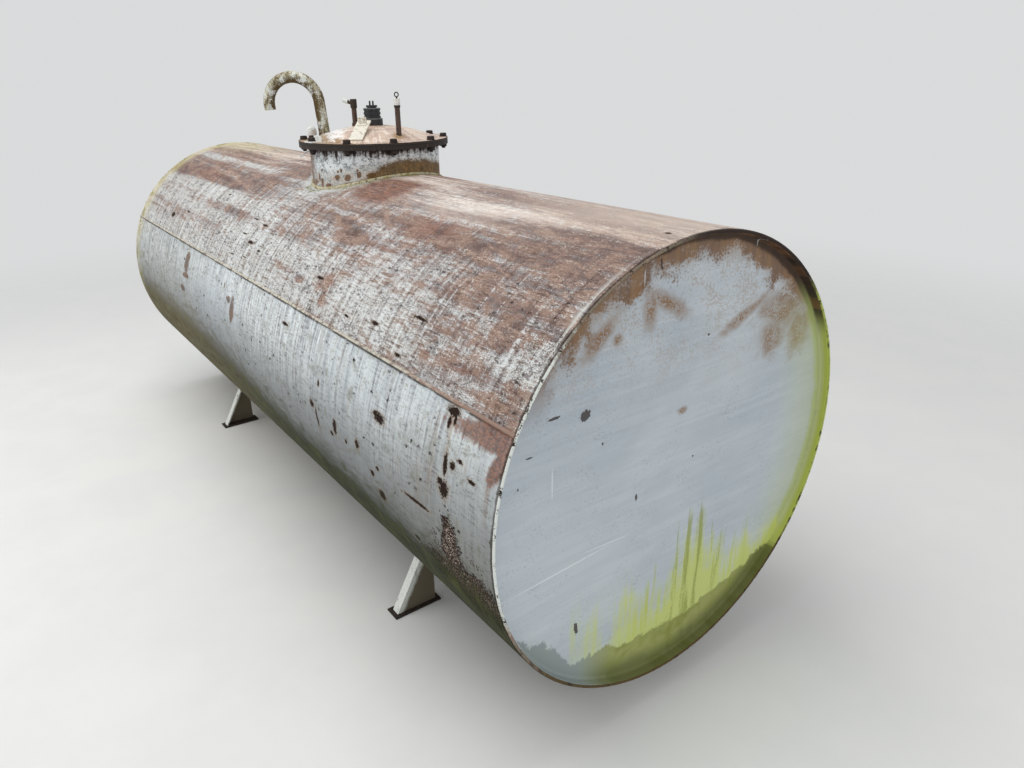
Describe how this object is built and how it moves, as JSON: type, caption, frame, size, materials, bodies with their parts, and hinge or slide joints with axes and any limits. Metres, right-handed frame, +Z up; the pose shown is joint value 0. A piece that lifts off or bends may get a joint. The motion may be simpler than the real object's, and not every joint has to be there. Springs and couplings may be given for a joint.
{
  "type": "horizontal atmospheric storage tank",
  "caption": "Flat-ended horizontal steel storage tank on four folded legs, with a bolted manhole, gooseneck vent and filler fittings, in worn grey paint.",
  "frame": {"origin": "on the floor under the middle of the tank", "axes": "+X along the tank towards its near end, +Y across it, +Z up"},
  "size_m": [3.394, 1.25, 1.697],
  "materials": {
    "worn_grey_paint": "matte",
    "rusted_top": "matte",
    "end_paint": "satin",
    "rusty_weld": "matte",
    "dark_rusty_steel": "matte",
    "gasket_rubber": "matte",
    "cover_paint": "satin",
    "mossy_pipe": "matte",
    "black_cap": "matte",
    "brown_pipe": "matte",
    "white_fitting": "matte",
    "leg_white": "matte"
  },
  "bodies": {
    "root": {"upper_plate": "rusted_top", "front_plate": "worn_grey_paint", "rear_plate": "worn_grey_paint", "front_seam": "rusty_weld", "rear_seam": "rusty_weld", "bottom_seam": "rusty_weld", "near_head": "end_paint", "far_head": "end_paint", "near_rim_weld": "rusty_weld", "far_rim_weld": "rusty_weld", "manhole_neck": "worn_grey_paint", "neck_weld": "mossy_pipe", "neck_flange": "dark_rusty_steel", "gasket": "gasket_rubber", "cover": "cover_paint", "vent_pipe": "mossy_pipe", "rim_bracket": "white_fitting", "filler_socket": "black_cap", "filler_cap": "black_cap", "filler_disc": "black_cap", "dip_pipe": "brown_pipe", "dip_cap": "white_fitting", "dip_ring": "dark_rusty_steel", "gauge_pipe": "brown_pipe", "gauge_elbow": "dark_rusty_steel", "sensor_socket": "brown_pipe", "sensor_cap": "white_fitting", "hasp": "white_fitting", "lock_strap": "white_fitting", "earth_lug": "white_fitting", "leg_front_near": "leg_white", "leg_front_far": "leg_white", "leg_rear_near": "leg_white", "leg_rear_far": "leg_white", "foot_front_near": "dark_rusty_steel", "foot_front_far": "dark_rusty_steel", "foot_rear_near": "dark_rusty_steel", "foot_rear_far": "dark_rusty_steel"}
  },
  "joints": []
}
